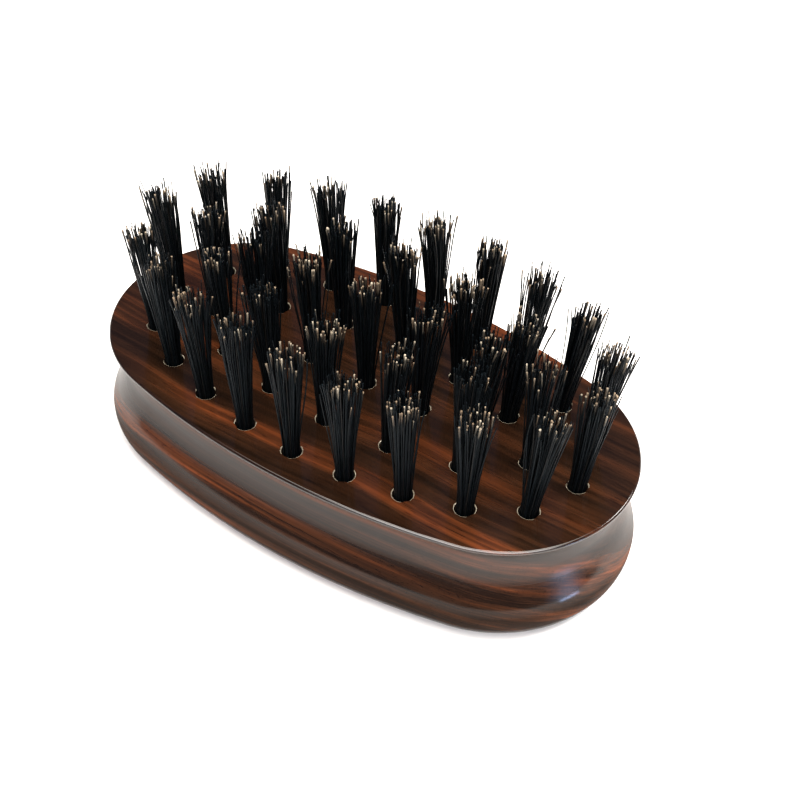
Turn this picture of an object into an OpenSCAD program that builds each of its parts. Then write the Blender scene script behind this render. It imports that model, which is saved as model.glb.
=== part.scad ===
// Oval palm brush for beards, lying on its back with the bristles up.
// A one-piece moulded wooden block carries three sets of blind holes. Each hole holds one tuft of bristle,
// folded in half under a flat metal anchor whose ends bite into the wood.
// X runs along the block and Z points up out of the bristle face. The origin is under the middle of the back.

/* [Oval] */
// Radius of the rounded ends of the bristle face, in plan (mm)
end_radius = 21; // [20:0.5:22]
// Size of the 16:63:65 triangle that sets out the centres of the four arcs (mm for each unit)
set_out = 1.5; // [1.25:0.25:1.75]

/* [Side profile] */
// Height of the wooden block (mm)
block_height = 19; // [18:0.5:22]
// Radius of the rounded lip around the face (mm)
lip_radius = 0.4; // [0.3:0.1:1.2]
// How far the finger cove runs in under the rim (mm)
cove_depth = 2.5; // [1.8:0.1:2.8]
// Depth below the face at which the cove is deepest (mm)
cove_drop = 6.6; // [5:0.1:7.4]
// How far the belly bulges out past the rim (mm)
belly_bulge = 0.5; // [0:0.1:1]
// Height above the back at which the belly is widest (mm)
belly_height = 4.8; // [2.5:0.1:5.5]
// Width of the rounded heel under the belly (mm)
heel_width = 3.2; // [1.8:0.1:6]

/* [Holes] */
// Diameter of every tuft hole (mm)
hole_diameter = 3.1; // [2.8:0.1:3.3]
// Depth of every tuft hole, along its axis (mm)
hole_depth = 9; // [7:0.5:10]
// Width of the broken edge at the mouth of a hole (mm)
mouth_chamfer = 0.2; // [0.1:0.05:0.3]
// Distance below the face at which the axes of all the holes meet (mm)
fan_depth = 340; // [260:10:600]

/* [Outer ring] */
// Number of tufts in the outer ring
outer_count = 20; // [16:4:20]
// Distance from the rim to the outer ring at the ends (mm)
outer_end_inset = 7.5; // [7:0.1:8]
// Distance from the rim to the outer ring at the sides (mm)
outer_side_inset = 5.4; // [5.2:0.1:6]
// Radius of the outer ring's ends (mm)
outer_end_radius = 13.5; // [12:0.5:15]

/* [Middle ring] */
// Number of tufts in the middle ring
middle_count = 12; // [8:4:12]
// Distance from the rim to the middle ring at the ends (mm)
middle_end_inset = 15.6; // [15.2:0.1:16]
// Distance from the rim to the middle ring at the sides (mm)
middle_side_inset = 13.8; // [13.4:0.1:14]
// Radius of the middle ring's ends (mm)
middle_end_radius = 5.3; // [4:0.1:6]

/* [Centre row] */
// Number of tufts in the centre row
centre_count = 5; // [3:2:5]
// Spacing of the tufts in the centre row (mm)
centre_pitch = 10.1; // [9:0.1:10.2]

/* [Tufts] */
// Mean height of the bristle tips above the face (mm)
tuft_height = 19; // [14:0.5:22]
// Diameter of a tuft where it leaves its hole (mm)
tuft_root = 2.6; // [2.2:0.1:2.8]
// Diameter of a tuft across its flared tips (mm)
tuft_tip = 5; // [3.6:0.1:5.4]

/* [Anchors] */
// Length of a flat anchor, wider than its hole so that the ends bite into the wood (mm)
anchor_length = 3.6; // [3.5:0.1:4]
// Height of a flat anchor (mm)
anchor_height = 1.6; // [1.2:0.1:2]
// Thickness of a flat anchor (mm)
anchor_thickness = 0.35; // [0.25:0.05:0.5]
// Thickness of the folded bristle between an anchor and the bottom of its hole (mm)
fold_thickness = 0.6; // [0.4:0.1:1]

/* [Hidden] */

function tuft_name(set, i) = str("tuft_", set, i < 10 ? "_0" : "_", i);
function tuft_names(set, count) = [for (i = [1:count]) tuft_name(set, i)];

ROSEWOOD = [0.24, 0.09, 0.05];
BRISTLE = [0.07, 0.08, 0.10];
STEEL = [0.72, 0.70, 0.66];

// Degrees between the points of a rounded stretch of the side profile, and the steps in its long flank.
ARC_STEP = 10;
FLANK_STEPS = 16;
ROUND_FN = 48;
SWEEP_FN = 360;

// The face is an oval of four tangent arcs. Their centres are the corners of a rhombus of four 16:63:65 right
// triangles, so every centre and every joint between arcs falls on an exact hundredth of a millimetre.
end_centre_x = 16 * set_out;
side_centre_y = 63 * set_out;
side_radius = 65 * set_out + end_radius;
half_length = end_centre_x + end_radius;
half_width = side_radius - side_centre_y;

// Any other oval of four tangent arcs, kept as
// [end radius, end centre x, side radius, side centre y, angle of the joint between the arcs].
function oval(a, b, end_r) =
    let (
        end_x = a - end_r,
        side_r = (end_x * end_x + b * b - end_r * end_r) / (2 * (b - end_r)),
        side_y = side_r - b)
    [end_r, end_x, side_r, side_y, atan2(side_y, end_x)];

function arc_length(radius, angle) = radius * angle * PI / 180;
function arc_angle(radius, length) = length / radius * 180 / PI;

// Length of a quarter of an oval, from its end to the middle of its side.
function quarter(o) = arc_length(o[0], o[4]) + arc_length(o[2], 90 - o[4]);

// The point a distance s along the first quarter of an oval, from its +X end.
function quarter_point(o, s) =
    let (end_part = arc_length(o[0], o[4]))
    s < end_part
        ? [o[1] + o[0] * cos(arc_angle(o[0], s)), o[0] * sin(arc_angle(o[0], s))]
        : let (angle = o[4] + arc_angle(o[2], s - end_part))
          [o[2] * cos(angle), o[2] * sin(angle) - o[3]];

// Evenly spaced points round an oval, anticlockwise from its +X end. The count is a multiple of 4.
function ring(o, count) =
    let (
        per_quarter = count / 4,
        first = [for (i = [0:per_quarter - 1]) quarter_point(o, i * quarter(o) / per_quarter)],
        second = [for (i = [0:per_quarter - 1]) quarter_point(o, quarter(o) * (1 - i / per_quarter))],
        half = concat(first, [for (p = second) [-p.x, p.y]]))
    concat(half, [for (p = half) -p]);

outer_points = ring(
    oval(half_length - outer_end_inset, half_width - outer_side_inset, outer_end_radius), outer_count);
middle_points = ring(
    oval(half_length - middle_end_inset, half_width - middle_side_inset, middle_end_radius), middle_count);
centre_points = [for (i = [0:centre_count - 1]) [(i - (centre_count - 1) / 2) * centre_pitch, 0]];

// Side profile from the face down to the back, as [offset outwards from the rim, height].
lip_foot = block_height - 2 * lip_radius;
cove_height = block_height - cove_drop;
flank_width = cove_depth + belly_bulge;
lip = [for (t = [90:-ARC_STEP:-80])
    [lip_radius * (cos(t) - 1), block_height - lip_radius * (1 - sin(t))]];
cove = [for (t = [0:ARC_STEP:80])
    [-lip_radius - (cove_depth - lip_radius) * sin(t), cove_height + (lip_foot - cove_height) * cos(t)]];
flank = [for (i = [0:FLANK_STEPS - 1])
    let (u = i / FLANK_STEPS)
    [belly_bulge - flank_width * (1 + cos(180 * u)) / 2, cove_height + (belly_height - cove_height) * u]];
heel = [for (t = [0:ARC_STEP:90])
    [belly_bulge - heel_width * (1 - cos(t)), belly_height * (1 - sin(t))]];
side_profile = concat(lip, cove, flank, heel);

// Rounding to a hundredth keeps the sections of neighbouring sweeps exactly alike where they meet.
function hundredth(v) = round(v * 100) / 100;

// The section between a sweep's axis and the side profile at a given radius of the rim.
module section(rim_radius) {
    polygon(concat(
        [[0, block_height]],
        [for (p = side_profile) [rim_radius + hundredth(p.x), hundredth(p.y)]],
        [[0, 0]]));
}

// A tall prism over a plan outline, past the top and the bottom of the block.
module clip_to(outline) {
    translate([0, 0, -1])
        linear_extrude(block_height + 2)
            polygon(outline);
}

// A rounded end of the block: the section swept about the end arc's centre, between the joints.
module block_end() {
    intersection() {
        translate([end_centre_x, 0, 0])
            rotate_extrude($fn = SWEEP_FN)
                section(end_radius);
        clip_to([
            [end_centre_x, 0],
            [end_centre_x + 16, -63],
            [end_centre_x + 63, -63],
            [end_centre_x + 63, 63],
            [end_centre_x + 16, 63]]);
    }
}

// Half of the block between its ends: the section swept about the side arc's centre, between the joints.
module block_side() {
    intersection() {
        translate([0, -side_centre_y, 0])
            rotate_extrude($fn = 2 * SWEEP_FN)
                section(side_radius);
        clip_to([
            [-end_centre_x, 0],
            [end_centre_x, 0],
            [end_centre_x + 16, 63],
            [-end_centre_x - 16, 63]]);
    }
}

// Puts its children at a tuft's place, with Z along the tuft's fanned-out axis and X kept along the grain.
module at_tuft(p) {
    heading = atan2(p.y, p.x);
    translate([p.x, p.y, block_height])
        rotate([0, atan2(norm(p), fan_depth), heading])
            rotate([0, 0, -heading])
                children();
}

module hole() {
    translate([0, 0, -hole_depth])
        cylinder(d = hole_diameter, h = hole_depth + 1, $fn = ROUND_FN);
    translate([0, 0, -mouth_chamfer])
        cylinder(r1 = hole_diameter / 2, r2 = hole_diameter / 2 + 2 * mouth_chamfer,
                 h = 2 * mouth_chamfer, $fn = ROUND_FN);
}

module anchor() {
    translate([-anchor_length / 2, -anchor_thickness / 2, fold_thickness - hole_depth])
        cube([anchor_length, anchor_thickness, anchor_height]);
}

module brush_block() {
    color(ROSEWOOD)
        difference() {
            union() {
                block_end();
                mirror([1, 0, 0]) block_end();
                block_side();
                mirror([0, 1, 0]) block_side();
            }
            for (p = concat(outer_points, middle_points, centre_points))
                at_tuft(p) {
                    hole();
                    anchor();
                }
        }
}

// The anchors of one set of tufts: identical loose pieces, one to a hole.
module anchors(points) {
    color(STEEL)
        for (p = points)
            at_tuft(p) anchor();
}

// One folded tuft: straight in its hole, flaring above the face, with a slot for its anchor.
module tuft(p) {
    crown = tuft_tip / 4;
    color(BRISTLE)
        at_tuft(p)
            difference() {
                rotate_extrude($fn = ROUND_FN)
                    polygon([
                        [0, -hole_depth],
                        [tuft_root / 2, -hole_depth],
                        [tuft_root / 2, 0],
                        [tuft_tip / 2, tuft_height - crown],
                        [tuft_tip / 3, tuft_height],
                        [0, tuft_height]]);
                anchor();
            }
}

brush_block();
anchors(outer_points);  // anchors_outer
anchors(middle_points);  // anchors_middle
anchors(centre_points);  // anchors_centre
for (i = [1:outer_count])
    tuft(outer_points[i - 1]);
for (i = [1:middle_count])
    tuft(middle_points[i - 1]);
for (i = [1:centre_count])
    tuft(centre_points[i - 1]);
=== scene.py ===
"""Looks for the oval beard brush: lacquered rosewood block, boar bristle tufts and their steel anchors.

Lengths are in metres unless a name ends in _MM. X runs along the block and Z points out of its face.
"""

import math
import random

import bmesh
import bpy
import numpy as np
from mathutils import Matrix, Vector
from mathutils.geometry import delaunay_2d_cdt


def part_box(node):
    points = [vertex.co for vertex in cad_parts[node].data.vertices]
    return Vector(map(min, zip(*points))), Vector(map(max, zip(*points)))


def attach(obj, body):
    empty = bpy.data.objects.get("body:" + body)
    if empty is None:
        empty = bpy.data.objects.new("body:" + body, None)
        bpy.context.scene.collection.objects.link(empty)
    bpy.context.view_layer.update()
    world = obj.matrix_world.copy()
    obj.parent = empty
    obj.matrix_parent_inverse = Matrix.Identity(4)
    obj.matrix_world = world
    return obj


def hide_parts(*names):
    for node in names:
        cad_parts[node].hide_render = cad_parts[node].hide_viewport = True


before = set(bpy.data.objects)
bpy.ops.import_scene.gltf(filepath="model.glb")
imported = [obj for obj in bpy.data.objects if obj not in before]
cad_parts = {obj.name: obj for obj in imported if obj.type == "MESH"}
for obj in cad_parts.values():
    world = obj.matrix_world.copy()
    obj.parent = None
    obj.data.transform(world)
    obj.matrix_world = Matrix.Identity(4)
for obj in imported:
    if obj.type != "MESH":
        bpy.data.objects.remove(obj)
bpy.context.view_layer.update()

MM = 0.001
BODY = "root"
SEED = 20

# ------------------------------------------------------------------ sizes shared with the CAD block, in mm
END_RADIUS_MM = 21.0
SET_OUT_MM = 1.5
SHORT_LEG, LONG_LEG, HYPOTENUSE = 16, 63, 65
LIP_RADIUS_MM = 0.4
LIP_BEVEL = math.radians(36)
COVE_DEPTH_MM = 2.5
COVE_DROP_MM = 6.6
BELLY_BULGE_MM = 0.5
BELLY_HEIGHT_MM = 4.8
HEEL_WIDTH_MM = 3.2
HOLE_RADIUS_MM = 1.55
HOLE_DEPTH_MM = 9.0
HOLE_EDGE_MM = 0.15
ANCHOR_HEIGHT_MM = 1.6
FOLD_MM = 0.6

_, block_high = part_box("brush_block")
FACE_Z_MM = block_high.z / MM
TUFT_NODES = sorted(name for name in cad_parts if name.startswith("tuft_"))


# ------------------------------------------------------------------ camera, light and floor
CAMERA_ELEVATION = math.radians(42.44)
CAMERA_AZIMUTH = math.radians(33.5)
CAMERA_ROLL = math.radians(2.0)
CAMERA_DISTANCE = 0.2521
CAMERA_TARGET = Vector((0.0065, -0.0002, block_high.z))
LENS_MM = 75.1
SENSOR_MM = 36.0
ROOM_COLOUR = (0.06, 0.075, 0.13)
CEILING_STOPS = [(0.84, 0), (0.93, 1)]
CEILING_COLOUR = (1.0, 0.94, 0.86)
CEILING_RADIANCE = 9.0
CURTAIN_HEIGHT_STOPS = [(0.59, 0), (0.62, 1), (0.74, 1), (0.77, 0)]
CURTAIN_WIDTH_STOPS = [(0.36, 0), (0.43, 1)]
CURTAIN_COLOUR = (0.98, 0.95, 0.94)
CURTAIN_RADIANCE = 10.5
WINDOW_AZIMUTH = math.radians(-2)
WINDOW_ELEVATION = math.radians(2)
WINDOW_STOPS = [(0.955, 0), (0.985, 0.3), (0.998, 1)]
WINDOW_COLOUR = (0.50, 0.68, 1.0)
WINDOW_RADIANCE = 5.0
BELOW_STOPS = [(0.1, 0), (0.4, 1)]
BELOW_RADIANCE = 0.8
KEY_PLACE, KEY_SIZE, KEY_WATTS, KEY_COLOUR = (0.46, 0.54, 0.56), (0.30, 0.30), 9, (1.0, 0.97, 0.93)
LOW_PLACE, LOW_AIM = (0.113, -0.0106, 0.0028), (0.0433, -0.0082, 0.006)
LOW_SIZE, LOW_WATTS, LOW_COLOUR = (0.020, 0.005), 0.0075, (0.42, 0.60, 1.0)
BACKDROP_RADIUS = 2.5
FLOOR_REACH_MM = 3000.0
FLOOR_LAP_MM = 0.4


def add_camera():
    data = bpy.data.cameras.new("camera")
    data.lens = LENS_MM
    data.sensor_width = SENSOR_MM
    data.clip_start = 0.01
    camera = bpy.data.objects.new("camera", data)
    bpy.context.scene.collection.objects.link(camera)
    away = Vector((
        math.sin(CAMERA_AZIMUTH) * math.cos(CAMERA_ELEVATION),
        -math.cos(CAMERA_AZIMUTH) * math.cos(CAMERA_ELEVATION),
        math.sin(CAMERA_ELEVATION)))
    right = Vector((0, 0, 1)).cross(away).normalized()
    up = away.cross(right)
    tilted_right = right * math.cos(CAMERA_ROLL) + up * math.sin(CAMERA_ROLL)
    tilted_up = up * math.cos(CAMERA_ROLL) - right * math.sin(CAMERA_ROLL)
    turn = Matrix((tilted_right, tilted_up, away)).transposed().to_4x4()
    camera.matrix_world = Matrix.Translation(CAMERA_TARGET + away * CAMERA_DISTANCE) @ turn
    bpy.context.scene.camera = camera


def add_area_light(name, place, aim, size, power, colour):
    data = bpy.data.lights.new(name, "AREA")
    data.shape = "RECTANGLE"
    data.size, data.size_y = size
    data.energy = power
    data.color = colour
    light = bpy.data.objects.new(name, data)
    light.location = place
    light.rotation_euler = (Vector(place) - Vector(aim)).to_track_quat("Z", "Y").to_euler()
    light.visible_camera = False
    bpy.context.scene.collection.objects.link(light)


def add_world():
    """A dark bluish studio with a warm ceiling, a curtain behind the camera, a window and light from below.

    The part that the flat face mirrors towards the camera is left dark.
    """
    world = bpy.data.worlds.new("studio")
    bpy.context.scene.world = world
    world.use_nodes = True
    tree = world.node_tree
    tree.nodes.clear()

    def background(colour, radiance):
        node = tree.nodes.new("ShaderNodeBackground")
        node.inputs["Color"].default_value = (*colour, 1)
        node.inputs["Strength"].default_value = radiance
        return node.outputs[0]

    def masked(value, stops):
        mask = tree.nodes.new("ShaderNodeValToRGB")
        elements = mask.color_ramp.elements
        while len(elements) < len(stops):
            elements.new(0.5)
        for element, (position, level) in zip(elements, stops):
            element.position = position
            element.color = (level, level, level, 1)
        tree.links.new(value, mask.inputs[0])
        return mask.outputs["Color"]

    def facing(direction):
        node = tree.nodes.new("ShaderNodeVectorMath")
        node.operation = "DOT_PRODUCT"
        node.inputs[1].default_value = direction
        tree.links.new(place.outputs["Generated"], node.inputs[0])
        return node.outputs["Value"]

    def overlaid(under, mask, over):
        node = tree.nodes.new("ShaderNodeMixShader")
        tree.links.new(mask, node.inputs[0])
        tree.links.new(under, node.inputs[1])
        tree.links.new(over, node.inputs[2])
        return node.outputs[0]

    place = tree.nodes.new("ShaderNodeTexCoord")
    up = facing((0, 0, 1))
    behind_camera = facing((math.sin(CAMERA_AZIMUTH), -math.cos(CAMERA_AZIMUTH), 0))
    through_window = facing((
        math.cos(WINDOW_AZIMUTH) * math.cos(WINDOW_ELEVATION),
        math.sin(WINDOW_AZIMUTH) * math.cos(WINDOW_ELEVATION),
        math.sin(WINDOW_ELEVATION)))
    curtain_mask = tree.nodes.new("ShaderNodeMath")
    curtain_mask.operation = "MULTIPLY"
    tree.links.new(masked(up, CURTAIN_HEIGHT_STOPS), curtain_mask.inputs[0])
    tree.links.new(masked(behind_camera, CURTAIN_WIDTH_STOPS), curtain_mask.inputs[1])

    light = background(ROOM_COLOUR, 1.0)
    for mask, colour, radiance in (
            (masked(up, CEILING_STOPS), CEILING_COLOUR, CEILING_RADIANCE),
            (curtain_mask.outputs[0], CURTAIN_COLOUR, CURTAIN_RADIANCE),
            (masked(through_window, WINDOW_STOPS), WINDOW_COLOUR, WINDOW_RADIANCE),
            (masked(facing((0, 0, -1)), BELOW_STOPS), (1, 1, 1), BELOW_RADIANCE)):
        light = overlaid(light, mask, background(colour, radiance))
    output = tree.nodes.new("ShaderNodeOutputWorld")
    tree.links.new(light, output.inputs[0])


def add_floor():
    """A floor with an opening hidden under the block, so that its back is lit and can be seen from below."""
    paper = new_material("white_paper")
    shader = principled(paper)
    shader.inputs["Base Color"].default_value = (0.9, 0.9, 0.9, 1)
    shader.inputs["Roughness"].default_value = 0.8
    shader.inputs["Specular IOR Level"].default_value = 0.1
    points, outward = rim_outline()
    opening = points + outward * (BELLY_BULGE_MM - HEEL_WIDTH_MM - FLOOR_LAP_MM)
    maker = MeshMaker()
    rings = [maker.ring((x, y, 0) for x, y in loop) for loop in (opening, outward * FLOOR_REACH_MM)]
    maker.band(*rings)
    maker.make("floor", [paper])


def add_backdrop():
    """A white backdrop all round that only the camera sees: it doesn't light the object or mirror in it."""
    mesh = bpy.data.meshes.new("backdrop")
    shell = bmesh.new()
    bmesh.ops.create_uvsphere(shell, u_segments=48, v_segments=24, radius=BACKDROP_RADIUS)
    shell.to_mesh(mesh)
    shell.free()
    backdrop = bpy.data.objects.new("backdrop", mesh)
    bpy.context.scene.collection.objects.link(backdrop)
    backdrop.visible_diffuse = False
    backdrop.visible_glossy = False
    backdrop.visible_transmission = False
    backdrop.visible_volume_scatter = False
    backdrop.visible_shadow = False
    white = new_material("backdrop_white")
    shader = principled(white)
    shader.inputs["Base Color"].default_value = (0, 0, 0, 1)
    shader.inputs["Specular IOR Level"].default_value = 0.0
    shader.inputs["Emission Color"].default_value = (1, 1, 1, 1)
    shader.inputs["Emission Strength"].default_value = 1.0
    white.cycles.emission_sampling = "NONE"
    mesh.materials.append(white)


# ------------------------------------------------------------------ node helpers
def new_material(name):
    material = bpy.data.materials.new(name)
    material.use_nodes = True
    return material


def principled(material):
    return material.node_tree.nodes["Principled BSDF"]


def add_node(material, kind, **settings):
    node = material.node_tree.nodes.new(kind)
    for key, value in settings.items():
        setattr(node, key, value)
    return node


def link(material, source, target):
    material.node_tree.links.new(source, target)


def stretched(material, periods_mm, offset=(0, 0, 0), warp=None):
    """Object coordinates divided by a period along each axis, so that noise of scale 1 has those periods."""
    mapping = add_node(material, "ShaderNodeMapping")
    mapping.inputs["Scale"].default_value = [1 / (p * MM) for p in periods_mm]
    mapping.inputs["Location"].default_value = offset
    if warp is None:
        warp = add_node(material, "ShaderNodeTexCoord").outputs["Object"]
    link(material, warp, mapping.inputs["Vector"])
    return mapping.outputs["Vector"]


def noise(material, vector, detail=3.0, roughness=0.55, distortion=0.0):
    texture = add_node(material, "ShaderNodeTexNoise", noise_dimensions="3D")
    texture.inputs["Scale"].default_value = 1.0
    texture.inputs["Detail"].default_value = detail
    texture.inputs["Roughness"].default_value = roughness
    texture.inputs["Distortion"].default_value = distortion
    link(material, vector, texture.inputs["Vector"])
    return texture.outputs["Fac"]


def ramp(material, value, stops):
    node = add_node(material, "ShaderNodeValToRGB")
    elements = node.color_ramp.elements
    while len(elements) < len(stops):
        elements.new(0.5)
    for element, (position, colour) in zip(elements, stops):
        element.position = position
        element.color = (*colour, 1)
    link(material, value, node.inputs["Fac"])
    return node.outputs["Color"]


def mix(material, kind, factor, a, b):
    """Blends b over a by a fixed factor; a and b are sockets or plain colours."""
    node = add_node(material, "ShaderNodeMix", data_type="RGBA", blend_type=kind)
    node.inputs[0].default_value = factor
    for index, value in ((6, a), (7, b)):
        if isinstance(value, bpy.types.NodeSocket):
            link(material, value, node.inputs[index])
        else:
            node.inputs[index].default_value = (*value, 1)
    return node.outputs[2]


def grey(level):
    return (level, level, level)


def bump(material, height, strength, distance_mm, target):
    node = add_node(material, "ShaderNodeBump")
    node.inputs["Strength"].default_value = strength
    node.inputs["Distance"].default_value = distance_mm * MM
    link(material, height, node.inputs["Height"])
    link(material, node.outputs["Normal"], target)


# ------------------------------------------------------------------ materials
GRAIN_TILT = math.radians(20)
WANDER_PERIODS_MM, WANDER_MM = (60, 30, 14), 2.5
BAND_PERIODS_MM = (85, 30, 2.2)
LINE_PERIODS_MM = (40, 4, 0.36)
PORE_PERIODS_MM = (3.2, 0.16, 0.16)
RIPPLE_PERIODS_MM = (5, 2.2, 2.2)
# By height above the back in mm: painted shade (darker under and on the lip, brightness set per height), and
# how much lacquer covers it.
PAINTED_SHADE_STOPS = [
    (5.0, 1.15), (8.5, 1.0), (FACE_Z_MM - 2.4, 0.85), (FACE_Z_MM - 0.9, 0.4), (FACE_Z_MM - 0.25, 0.5),
    (FACE_Z_MM - 0.06, 0.72)]
COAT_WEIGHT_STOPS = [(1.2, 1.0), (2.8, 0.13), (5.2, 0.13), (8.0, 0.85), (12.0, 0.75), (FACE_Z_MM - 1.0, 0.9)]


def by_height(material, stops):
    """A grey level that depends on the height above the back, from stops of (height in mm, level)."""
    place = add_node(material, "ShaderNodeTexCoord").outputs["Object"]
    split = add_node(material, "ShaderNodeSeparateXYZ")
    link(material, place, split.inputs[0])
    share = add_node(material, "ShaderNodeMath", operation="DIVIDE")
    share.inputs[1].default_value = FACE_Z_MM * MM
    link(material, split.outputs["Z"], share.inputs[0])
    return ramp(material, share.outputs[0], [(z / FACE_Z_MM, grey(level)) for z, level in stops])


def grain_place(wood):
    """Object coordinates turned so that Z runs across the growth layers, with slow wander added."""
    place = add_node(wood, "ShaderNodeTexCoord").outputs["Object"]
    drift = add_node(wood, "ShaderNodeTexNoise", noise_dimensions="3D")
    drift.inputs["Scale"].default_value = 1.0
    drift.inputs["Detail"].default_value = 2.0
    link(wood, stretched(wood, WANDER_PERIODS_MM, warp=place), drift.inputs["Vector"])
    centred = add_node(wood, "ShaderNodeVectorMath", operation="SUBTRACT")
    centred.inputs[1].default_value = (0.5, 0.5, 0.5)
    link(wood, drift.outputs["Color"], centred.inputs[0])
    wander = add_node(wood, "ShaderNodeVectorMath", operation="MULTIPLY_ADD")
    wander.inputs[1].default_value = (0, WANDER_MM * MM, WANDER_MM * MM)
    link(wood, centred.outputs[0], wander.inputs[0])
    link(wood, place, wander.inputs[2])
    turned = add_node(wood, "ShaderNodeMapping")
    turned.inputs["Rotation"].default_value = (GRAIN_TILT, 0, 0)
    link(wood, wander.outputs[0], turned.inputs["Vector"])
    return turned.outputs["Vector"]


def rosewood(name, coat_roughness, coat_ior):
    """Solid rosewood: thin growth layers run along X through the whole block, under a clear gloss lacquer."""
    wood = new_material(name)
    grain = grain_place(wood)
    bands = noise(wood, stretched(wood, BAND_PERIODS_MM, (3.1, 0, 0), grain), 2.5, 0.5)
    streaks = ramp(wood, bands, [
        (0.40, (0.0145, 0.0068, 0.0036)),
        (0.47, (0.0220, 0.0096, 0.0048)),
        (0.53, (0.0320, 0.0124, 0.0056)),
        (0.58, (0.0470, 0.0165, 0.0068)),
        (0.64, (0.0930, 0.0265, 0.0090)),
        (0.70, (0.0420, 0.0145, 0.0062))])
    line_noise = noise(wood, stretched(wood, LINE_PERIODS_MM, (0, 7.7, 1.3), grain), 3, 0.6)
    lines = ramp(wood, line_noise, [
        (0.36, (0.48, 0.50, 0.52)),
        (0.50, (0.90, 0.90, 0.90)),
        (0.66, (1.70, 1.50, 1.35))])
    lined = mix(wood, "MULTIPLY", 0.85, streaks, lines)
    pore_noise = noise(wood, stretched(wood, PORE_PERIODS_MM, (0, 2.2, 9.1), grain), 1.0, 0.4)
    pores = ramp(wood, pore_noise, [(0.30, grey(0.25)), (0.37, grey(1.0))])
    porous = mix(wood, "MULTIPLY", 0.7, lined, pores)
    # Painted shade by height: the wood is darkened under and on the lip, and made lighter or darker up the
    # side to match how light falls there.
    colour = mix(wood, "MULTIPLY", 1.0, porous, by_height(wood, PAINTED_SHADE_STOPS))

    shader = principled(wood)
    link(wood, colour, shader.inputs["Base Color"])
    shader.inputs["Roughness"].default_value = 0.5
    shader.inputs["Specular IOR Level"].default_value = 0.0
    link(wood, by_height(wood, COAT_WEIGHT_STOPS), shader.inputs["Coat Weight"])
    shader.inputs["Coat Roughness"].default_value = coat_roughness
    shader.inputs["Coat IOR"].default_value = coat_ior
    bump(wood, pores, 0.15, 0.03, shader.inputs["Normal"])
    ripple = noise(wood, stretched(wood, RIPPLE_PERIODS_MM, (4, 4, 4)), 2.0, 0.5)
    bump(wood, ripple, 0.10, 0.05, shader.inputs["Coat Normal"])
    return wood


def bored_wood(name, dark, light, lacquered):
    """Rosewood cut across by the drill: dull inside the hole, and sealed where lacquer ran over its edge."""
    wood = new_material(name)
    shade = noise(wood, stretched(wood, (0.5, 0.35, 0.7)), 3.0, 0.6)
    shader = principled(wood)
    link(wood, ramp(wood, shade, [(0.35, dark), (0.65, light)]), shader.inputs["Base Color"])
    shader.inputs["Roughness"].default_value = 0.6
    shader.inputs["Coat Weight"].default_value = 1.0 if lacquered else 0.0
    shader.inputs["Coat Roughness"].default_value = 0.12
    bump(wood, shade, 0.3, 0.04, shader.inputs["Normal"])
    return wood


def bristle():
    """Black boar bristle with a cool satin sheen, each hair its own shade, paler where its end is cut."""
    hair = new_material("bristle")
    each = add_node(hair, "ShaderNodeNewGeometry").outputs["Random Per Island"]
    dark = ramp(hair, each, [
        (0.0, (0.0010, 0.0016, 0.0022)),
        (0.6, (0.0022, 0.0036, 0.0046)),
        (0.9, (0.0042, 0.0060, 0.0072)),
        (1.0, (0.0140, 0.0110, 0.0085))])
    pale = ramp(hair, each, [
        (0.0, (0.34, 0.26, 0.18)),
        (0.5, (0.16, 0.11, 0.07)),
        (1.0, (0.50, 0.44, 0.34))])
    paleness = add_node(hair, "ShaderNodeAttribute", attribute_name="paleness").outputs["Fac"]
    tone = add_node(hair, "ShaderNodeMix", data_type="RGBA")
    link(hair, paleness, tone.inputs[0])
    link(hair, dark, tone.inputs[6])
    link(hair, pale, tone.inputs[7])
    scales = noise(hair, stretched(hair, (0.25, 0.25, 0.9)), 2.0, 0.5)
    scale_shade = ramp(hair, scales, [(0.3, grey(0.55)), (0.7, grey(1.3))])
    colour = mix(hair, "MULTIPLY", 0.6, tone.outputs[2], scale_shade)
    shader = principled(hair)
    link(hair, colour, shader.inputs["Base Color"])
    shader.inputs["Roughness"].default_value = 0.42
    shader.inputs["Specular IOR Level"].default_value = 0.09
    shader.inputs["Specular Tint"].default_value = (0.68, 0.86, 1.0, 1)
    bump(hair, scales, 0.25, 0.02, shader.inputs["Normal"])
    return hair


def anchor_steel():
    """Flat wire: bright, with fine drawing marks along its length."""
    steel = new_material("anchor_steel")
    marks = noise(steel, stretched(steel, (2.0, 0.05, 0.05)), 2.0, 0.5)
    shader = principled(steel)
    link(steel, ramp(steel, marks, [(0.3, (0.50, 0.49, 0.46)), (0.7, (0.68, 0.67, 0.64))]),
         shader.inputs["Base Color"])
    shader.inputs["Metallic"].default_value = 1.0
    shader.inputs["Roughness"].default_value = 0.32
    bump(steel, marks, 0.2, 0.01, shader.inputs["Normal"])
    return steel


# ------------------------------------------------------------------ the wooden block
OUTLINE_STEP_MM = 0.75
ARC_STEPS = 14
FLANK_STEPS = 44
HOLE_SIDES = 48
EDGE_STEPS = 5


def quarter_outline():
    """Points and outward directions round the first quarter of the face's rim, from +X towards +Y, in mm."""
    end_x, side_y = SHORT_LEG * SET_OUT_MM, LONG_LEG * SET_OUT_MM
    side_radius = HYPOTENUSE * SET_OUT_MM + END_RADIUS_MM
    joint = math.atan2(LONG_LEG, SHORT_LEG)
    points = []
    for radius, centre, start, end in (
            (END_RADIUS_MM, (end_x, 0), 0, joint),
            (side_radius, (0, -side_y), joint, math.pi / 2)):
        steps = math.ceil(radius * (end - start) / OUTLINE_STEP_MM)
        for i in range(steps):
            angle = start + (end - start) * i / steps
            direction = np.array([math.cos(angle), math.sin(angle)])
            points.append((np.array(centre) + radius * direction, direction))
    points.append((np.array([0, side_radius - side_y]), np.array([0.0, 1.0])))
    return points


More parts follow.
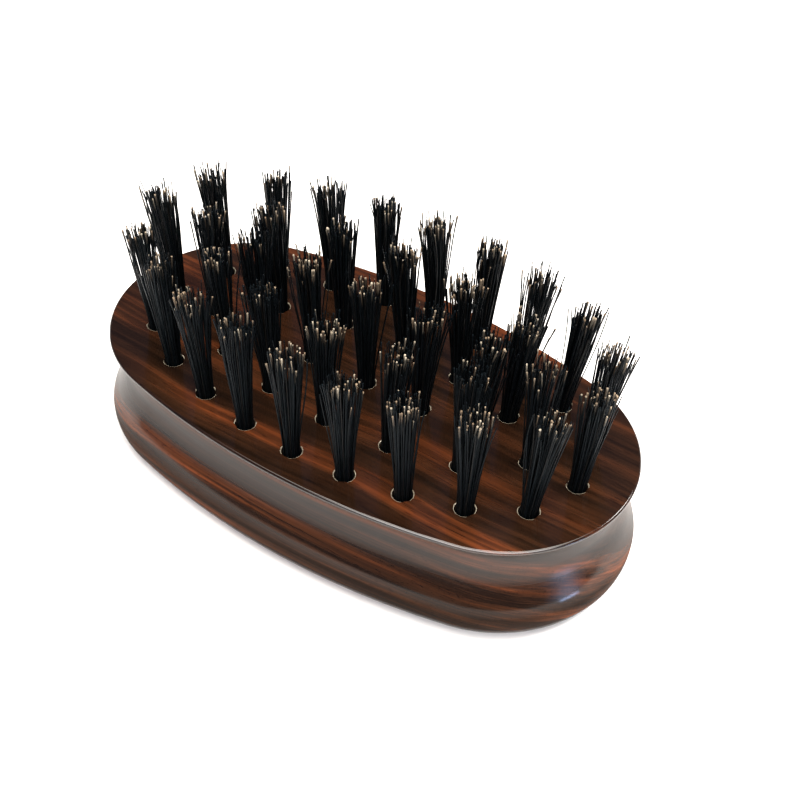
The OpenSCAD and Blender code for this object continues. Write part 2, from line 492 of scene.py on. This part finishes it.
def rim_outline():
    """The whole rim, anticlockwise: (points, outward directions)."""
    first = quarter_outline()
    flip_x, flip_y = np.array([-1, 1]), np.array([1, -1])
    second = [(p * flip_x, d * flip_x) for p, d in reversed(first[:-1])]
    upper = first + second
    lower = [(p * flip_y, d * flip_y) for p, d in reversed(upper[1:-1])]
    whole = upper + lower
    return np.array([p for p, _ in whole]), np.array([d for _, d in whole])


def side_profile():
    """The side from the face down to the back, as (offset outwards from the rim, height), in mm."""
    lip_foot = FACE_Z_MM - 2 * LIP_RADIUS_MM
    cove_z = FACE_Z_MM - COVE_DROP_MM
    quarter = math.pi / 2
    profile = []
    for i in range(2 * ARC_STEPS):
        t = quarter - 2 * quarter * i / (2 * ARC_STEPS)
        reach = min(1.0, math.cos(LIP_BEVEL / 2) / math.cos(t - quarter / 2)) if t > 0 else 1.0
        profile.append((LIP_RADIUS_MM * (reach * math.cos(t) - 1),
                        FACE_Z_MM - LIP_RADIUS_MM * (1 - reach * math.sin(t))))
    for i in range(ARC_STEPS):
        t = quarter * i / ARC_STEPS
        profile.append((-LIP_RADIUS_MM - (COVE_DEPTH_MM - LIP_RADIUS_MM) * math.sin(t),
                        cove_z + (lip_foot - cove_z) * math.cos(t)))
    for i in range(FLANK_STEPS):
        u = i / FLANK_STEPS
        profile.append((BELLY_BULGE_MM - (COVE_DEPTH_MM + BELLY_BULGE_MM) * (1 + math.cos(math.pi * u)) / 2,
                        cove_z + (BELLY_HEIGHT_MM - cove_z) * u))
    for i in range(ARC_STEPS + 1):
        t = quarter * i / ARC_STEPS
        profile.append((BELLY_BULGE_MM - HEEL_WIDTH_MM * (1 - math.cos(t)),
                        BELLY_HEIGHT_MM * (1 - math.sin(t))))
    return profile


def ring_centre(vertices):
    low, high = vertices.min(0), vertices.max(0)
    return (low + high) / 2


def tuft_axis(name):
    """Where a tuft leaves the face, and the direction it points in, read from its CAD solid. In mm."""
    end_band_mm = 0.5
    points = np.array([v.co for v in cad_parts[name].data.vertices]) / MM
    foot = ring_centre(points[points[:, 2] < points[:, 2].min() + end_band_mm])
    crown = ring_centre(points[points[:, 2] > points[:, 2].max() - end_band_mm])
    direction = (crown - foot) / np.linalg.norm(crown - foot)
    mouth = foot + direction * (FACE_Z_MM - foot[2]) / direction[2]
    return mouth, direction


def across(direction):
    """Two directions at right angles to a tuft's axis, the first as near X as can be."""
    first = np.array([1.0, 0, 0]) - direction * direction[0]
    first /= np.linalg.norm(first)
    return first, np.cross(direction, first)


def circle(centre, direction, radius, sides=HOLE_SIDES):
    u, v = across(direction)
    angles = [2 * math.pi * i / sides for i in range(sides)]
    return [centre + radius * (math.cos(a) * u + math.sin(a) * v) for a in angles]


def onto_face(point, direction):
    return point + direction * (FACE_Z_MM - point[2]) / direction[2]


class MeshMaker:
    """Collects points in mm and faces with a material number, and makes one object of them."""

    def __init__(self):
        self.points, self.tones, self.faces, self.slots, self.smooth = [], [], [], [], []

    def ring(self, points, tone=0.0):
        start = len(self.points)
        self.points.extend(tuple(p) for p in points)
        self.tones.extend([tone] * (len(self.points) - start))
        return list(range(start, len(self.points)))

    def face(self, corners, slot=0, smooth=True):
        self.faces.append(tuple(corners))
        self.slots.append(slot)
        self.smooth.append(smooth)

    def band(self, a, b, slot=0):
        """Quads between two rings of equal length, a above or outside b."""
        n = len(a)
        for i in range(n):
            j = (i + 1) % n
            self.face((a[i], b[i], b[j], a[j]), slot)

    def make(self, name, materials):
        mesh = bpy.data.meshes.new(name)
        mesh.from_pydata([[c * MM for c in p] for p in self.points], [], self.faces)
        mesh.polygons.foreach_set("material_index", self.slots)
        mesh.polygons.foreach_set("use_smooth", self.smooth)
        paleness = mesh.attributes.new("paleness", "FLOAT", "POINT")
        paleness.data.foreach_set("value", self.tones)
        for material in materials:
            mesh.materials.append(material)
        mesh.update()
        piece = bpy.data.objects.new(name, mesh)
        bpy.context.scene.collection.objects.link(piece)
        return piece


# The coat's gloss by height, set so that its reflections look as they do in the photo:
# (up to this height in mm, coat roughness, coat IOR).
COAT_BANDS = [
    (8.8, 0.14, 1.46),
    (9.4, 0.18, 1.46),
    (10.0, 0.23, 1.46),
    (10.6, 0.28, 1.46),
    (FACE_Z_MM - 1.3, 0.34, 1.46),
    (FACE_Z_MM - 0.9, 0.24, 1.46),
    (FACE_Z_MM - 0.01, 0.10, 1.62),
    (FACE_Z_MM + 1, 0.14, 1.46)]
LACQUERED, HOLE_EDGE, BORE = len(COAT_BANDS) - 1, len(COAT_BANDS), len(COAT_BANDS) + 1


def coat_band(z):
    return next(number for number, (top, *_) in enumerate(COAT_BANDS) if z < top)


def bore_hole(maker, mouth, direction):
    """A hole from its rounded edge on the face down to its flat bottom. Returns its outermost ring."""
    rings = []
    for i in range(EDGE_STEPS + 1):
        t = math.pi / 2 * i / EDGE_STEPS
        radius = HOLE_RADIUS_MM + HOLE_EDGE_MM * (1 - math.sin(t))
        drop = HOLE_EDGE_MM * (1 - math.cos(t))
        points = [onto_face(p, direction) - direction * drop for p in circle(mouth, direction, radius)]
        rings.append(maker.ring(points))
    for upper, lower in zip(rings, rings[1:]):
        maker.band(upper, lower, HOLE_EDGE)
    wall = [maker.ring(circle(mouth - direction * HOLE_DEPTH_MM * share, direction, HOLE_RADIUS_MM))
            for share in (0.3, 1.0)]
    maker.band(rings[-1], wall[0], BORE)
    maker.band(wall[0], wall[1], BORE)
    maker.face(wall[1], BORE, smooth=False)
    return rings[0]


def pave_face(maker, rim_ring, hole_rings):
    """The flat face: triangles between the rim and the holes' edges."""
    loops = [rim_ring] + hole_rings
    corners = [i for loop in loops for i in loop]
    flat = [Vector(maker.points[i][:2]) for i in corners]
    edges, start = [], 0
    for loop in loops:
        n = len(loop)
        edges.extend((start + i, start + (i + 1) % n) for i in range(n))
        start += n
    centres = [np.mean([maker.points[i][:2] for i in loop], axis=0) for loop in hole_rings]
    points, _, triangles, *_ = delaunay_2d_cdt(flat, edges, [list(range(len(rim_ring)))], 1, 1e-6)
    for triangle in triangles:
        middle = np.mean([points[i] for i in triangle], axis=0)
        if all(np.hypot(*(middle - centre)) > HOLE_RADIUS_MM for centre in centres):
            maker.face([corners[i] for i in triangle], LACQUERED, smooth=False)


def build_block():
    maker = MeshMaker()
    points, outward = rim_outline()
    profile = side_profile()
    rings = [maker.ring(np.column_stack((points + outward * offset, np.full(len(points), z))))
             for offset, z in profile]
    for upper, lower, (_, z) in zip(rings, rings[1:], profile):
        maker.band(upper, lower, coat_band(z))
    maker.face(list(reversed(rings[-1])), coat_band(0), smooth=False)
    hole_rings = [bore_hole(maker, *tuft_axis(name)) for name in TUFT_NODES]
    pave_face(maker, rings[0], hole_rings)
    block = maker.make("brush_block_rosewood", [
        *[rosewood(f"rosewood_{number}", *finish) for number, (_, *finish) in enumerate(COAT_BANDS)],
        # The hole edge's pale cream is partly pale wood fibre at the edge and partly a painted highlight
        # where light catches the rounded edges.
        bored_wood("hole_edge_pale_and_highlight", (0.26, 0.22, 0.15), (0.62, 0.56, 0.44), True),
        bored_wood("bored_rosewood", (0.012, 0.005, 0.003), (0.05, 0.02, 0.01), False)])
    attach(block, BODY)
    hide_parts("brush_block")


# ------------------------------------------------------------------ the tufts
HAIRS_PER_TUFT = 44
HAIR_SIDES = 5
LEG_POINTS = 8
BUNDLE_RADIUS_MM = 1.2
TIP_HEIGHT_MM = 18.6
HAIR_RADIUS_MM = 0.105
ANCHOR_GAP_MM = 0.34
TIP_GAP_MM = 0.24
STRAY_SHARE = 0.06
SHORT_SHARE = 0.18


def spread_in_half_disc(count, rng):
    """Places of the hairs' legs on one side of the anchor, filling half of the bundle's section evenly."""
    places = []
    golden = math.pi * (3 - math.sqrt(5))
    i = 0
    while len(places) < count:
        radius = BUNDLE_RADIUS_MM * math.sqrt((i % (2 * count) + 0.5) / (2 * count))
        angle = i * golden
        x, y = radius * math.cos(angle), radius * math.sin(angle)
        if y > 0:
            places.append((x + rng.uniform(-0.05, 0.05), y + rng.uniform(-0.04, 0.04)))
        i += 1
    return places


def leg(place, side, rng, flare, lean):
    """One leg of a folded hair, from its fold up to its tip, in the tuft's own axes and in mm."""
    x0, y0 = place[0], side * max(place[1], ANCHOR_GAP_MM)
    stray = rng.random() < STRAY_SHARE
    spread = flare * (1 + (rng.uniform(0.2, 0.7) if stray else rng.gauss(0, 0.11)))
    height = TIP_HEIGHT_MM + rng.gauss(0.1, 0.55)
    height -= (rng.random() < SHORT_SHARE) * rng.uniform(0.5, 2.6)
    tip_x = x0 * spread + lean[0] + rng.gauss(0, 0.26)
    tip_y = side * max(place[1], TIP_GAP_MM) * spread + lean[1] + rng.gauss(0, 0.26)
    bow_angle = rng.uniform(0, 2 * math.pi)
    bow = rng.gauss(0, 0.3) * (2 if stray else 1)
    hook = rng.gauss(0, 0.25)
    points = [(x0, y0, FOLD_MM + ANCHOR_HEIGHT_MM * 0.5 - HOLE_DEPTH_MM), (x0, y0, -1.5)]
    for i in range(LEG_POINTS):
        t = (i + 1) / LEG_POINTS
        curve = t ** 1.2
        sway = bow * math.sin(math.pi * t) * t + hook * t ** 5
        points.append((x0 + (tip_x - x0) * curve + sway * math.cos(bow_angle),
                       y0 + (tip_y - y0) * curve + sway * math.sin(bow_angle),
                       height * t))
    return points


def fold(place, other, depth):
    """The square bend that takes a hair from one leg to the other, clear under the anchor."""
    bottom = FOLD_MM * depth - HOLE_DEPTH_MM
    middle = ((place[0] + other[0]) / 2, (place[1] + other[1]) / 2)
    return [(x, y, bottom) for x, y in (place[:2], middle, other[:2])]


def sweep(maker, path, radii, tones, to_world):
    """A tube along a path, closed at both ends, with a shade for each point of the path."""
    path = np.array(path)
    tangents = np.gradient(path, axis=0)
    tangents /= np.linalg.norm(tangents, axis=1)[:, None]
    side = np.cross(tangents[0], [1.0, 0.3, 0.0])
    rings = []
    for point, tangent, radius, tone in zip(path, tangents, radii, tones):
        side = side - tangent * side.dot(tangent)
        side /= np.linalg.norm(side)
        other = np.cross(tangent, side)
        ring = [point + radius * (math.cos(a) * side + math.sin(a) * other)
                for a in (2 * math.pi * k / HAIR_SIDES for k in range(HAIR_SIDES))]
        rings.append(maker.ring([to_world(p) for p in ring], tone))
    for a, b in zip(rings, rings[1:]):
        maker.band(b, a)
    maker.face(list(reversed(rings[0])), smooth=False)
    maker.face(rings[-1], smooth=False)


def cut_back(points, share):
    """A point a share of the last stretch back from the end of a path."""
    end, before = np.array(points[-1]), np.array(points[-2])
    return tuple(end + (before - end) * share)


def build_tuft(name, number, material):
    rng = random.Random(SEED * 1000 + number)
    mouth, direction = tuft_axis(name)
    u, v = across(direction)

    def to_world(point):
        return mouth + u * point[0] + v * point[1] + direction * point[2]

    flare = rng.uniform(1.75, 2.35)
    pale_share = rng.uniform(0.2, 0.6)
    lean = (rng.gauss(0, 0.4), rng.gauss(0, 0.4))
    maker = MeshMaker()
    first_places = spread_in_half_disc(HAIRS_PER_TUFT, rng)
    second_places = spread_in_half_disc(HAIRS_PER_TUFT, rng)
    for i, (first_place, second_place) in enumerate(zip(first_places, second_places)):
        side = 1 if i % 2 else -1
        first = leg(first_place, side, rng, flare, lean)
        second = leg(second_place, -side, rng, flare, lean)
        bend = fold(first[0], second[0], rng.uniform(0.25, 0.73))
        thick = HAIR_RADIUS_MM * rng.uniform(0.8, 1.2)
        first.insert(-1, cut_back(first, rng.uniform(0.07, 0.2)))
        second.insert(-1, cut_back(second, rng.uniform(0.07, 0.2)))
        path = first[::-1] + bend + second
        tones = [0.0] * len(path)
        radii = [thick * 1.05] * len(first) + [thick] * len(bend)
        radii += list(np.linspace(thick * 0.95, thick * 0.7, len(second)))
        if rng.random() < pale_share:
            tones[0] = rng.uniform(0.6, 1.0)
            tones[1] = tones[0] * rng.uniform(0.1, 0.9)
            radii[0] = radii[1] = thick * rng.uniform(1.1, 1.5)
        if rng.random() < pale_share * 0.4:
            tones[-1] = rng.uniform(0.3, 0.9)
            tones[-2] = tones[-1] * rng.uniform(0, 0.5)
        sweep(maker, path, radii, tones, to_world)
    piece = maker.make(name + "_bristles", [material])
    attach(piece, BODY)
    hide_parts(name)


def dress_anchors():
    steel = anchor_steel()
    for name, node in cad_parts.items():
        if name.startswith("anchors_"):
            for material_slot in node.material_slots:
                material_slot.material = steel


# ------------------------------------------------------------------ the scene
bpy.context.scene.view_settings.view_transform = "Standard"
add_camera()
add_world()
add_floor()
add_backdrop()
add_area_light("key", KEY_PLACE, (0, 0, 0), KEY_SIZE, KEY_WATTS, KEY_COLOUR)
add_area_light("low_window", LOW_PLACE, LOW_AIM, LOW_SIZE, LOW_WATTS, LOW_COLOUR)

build_block()
bristle_material = bristle()
for number, tuft_name in enumerate(TUFT_NODES):
    build_tuft(tuft_name, number, bristle_material)
dress_anchors()
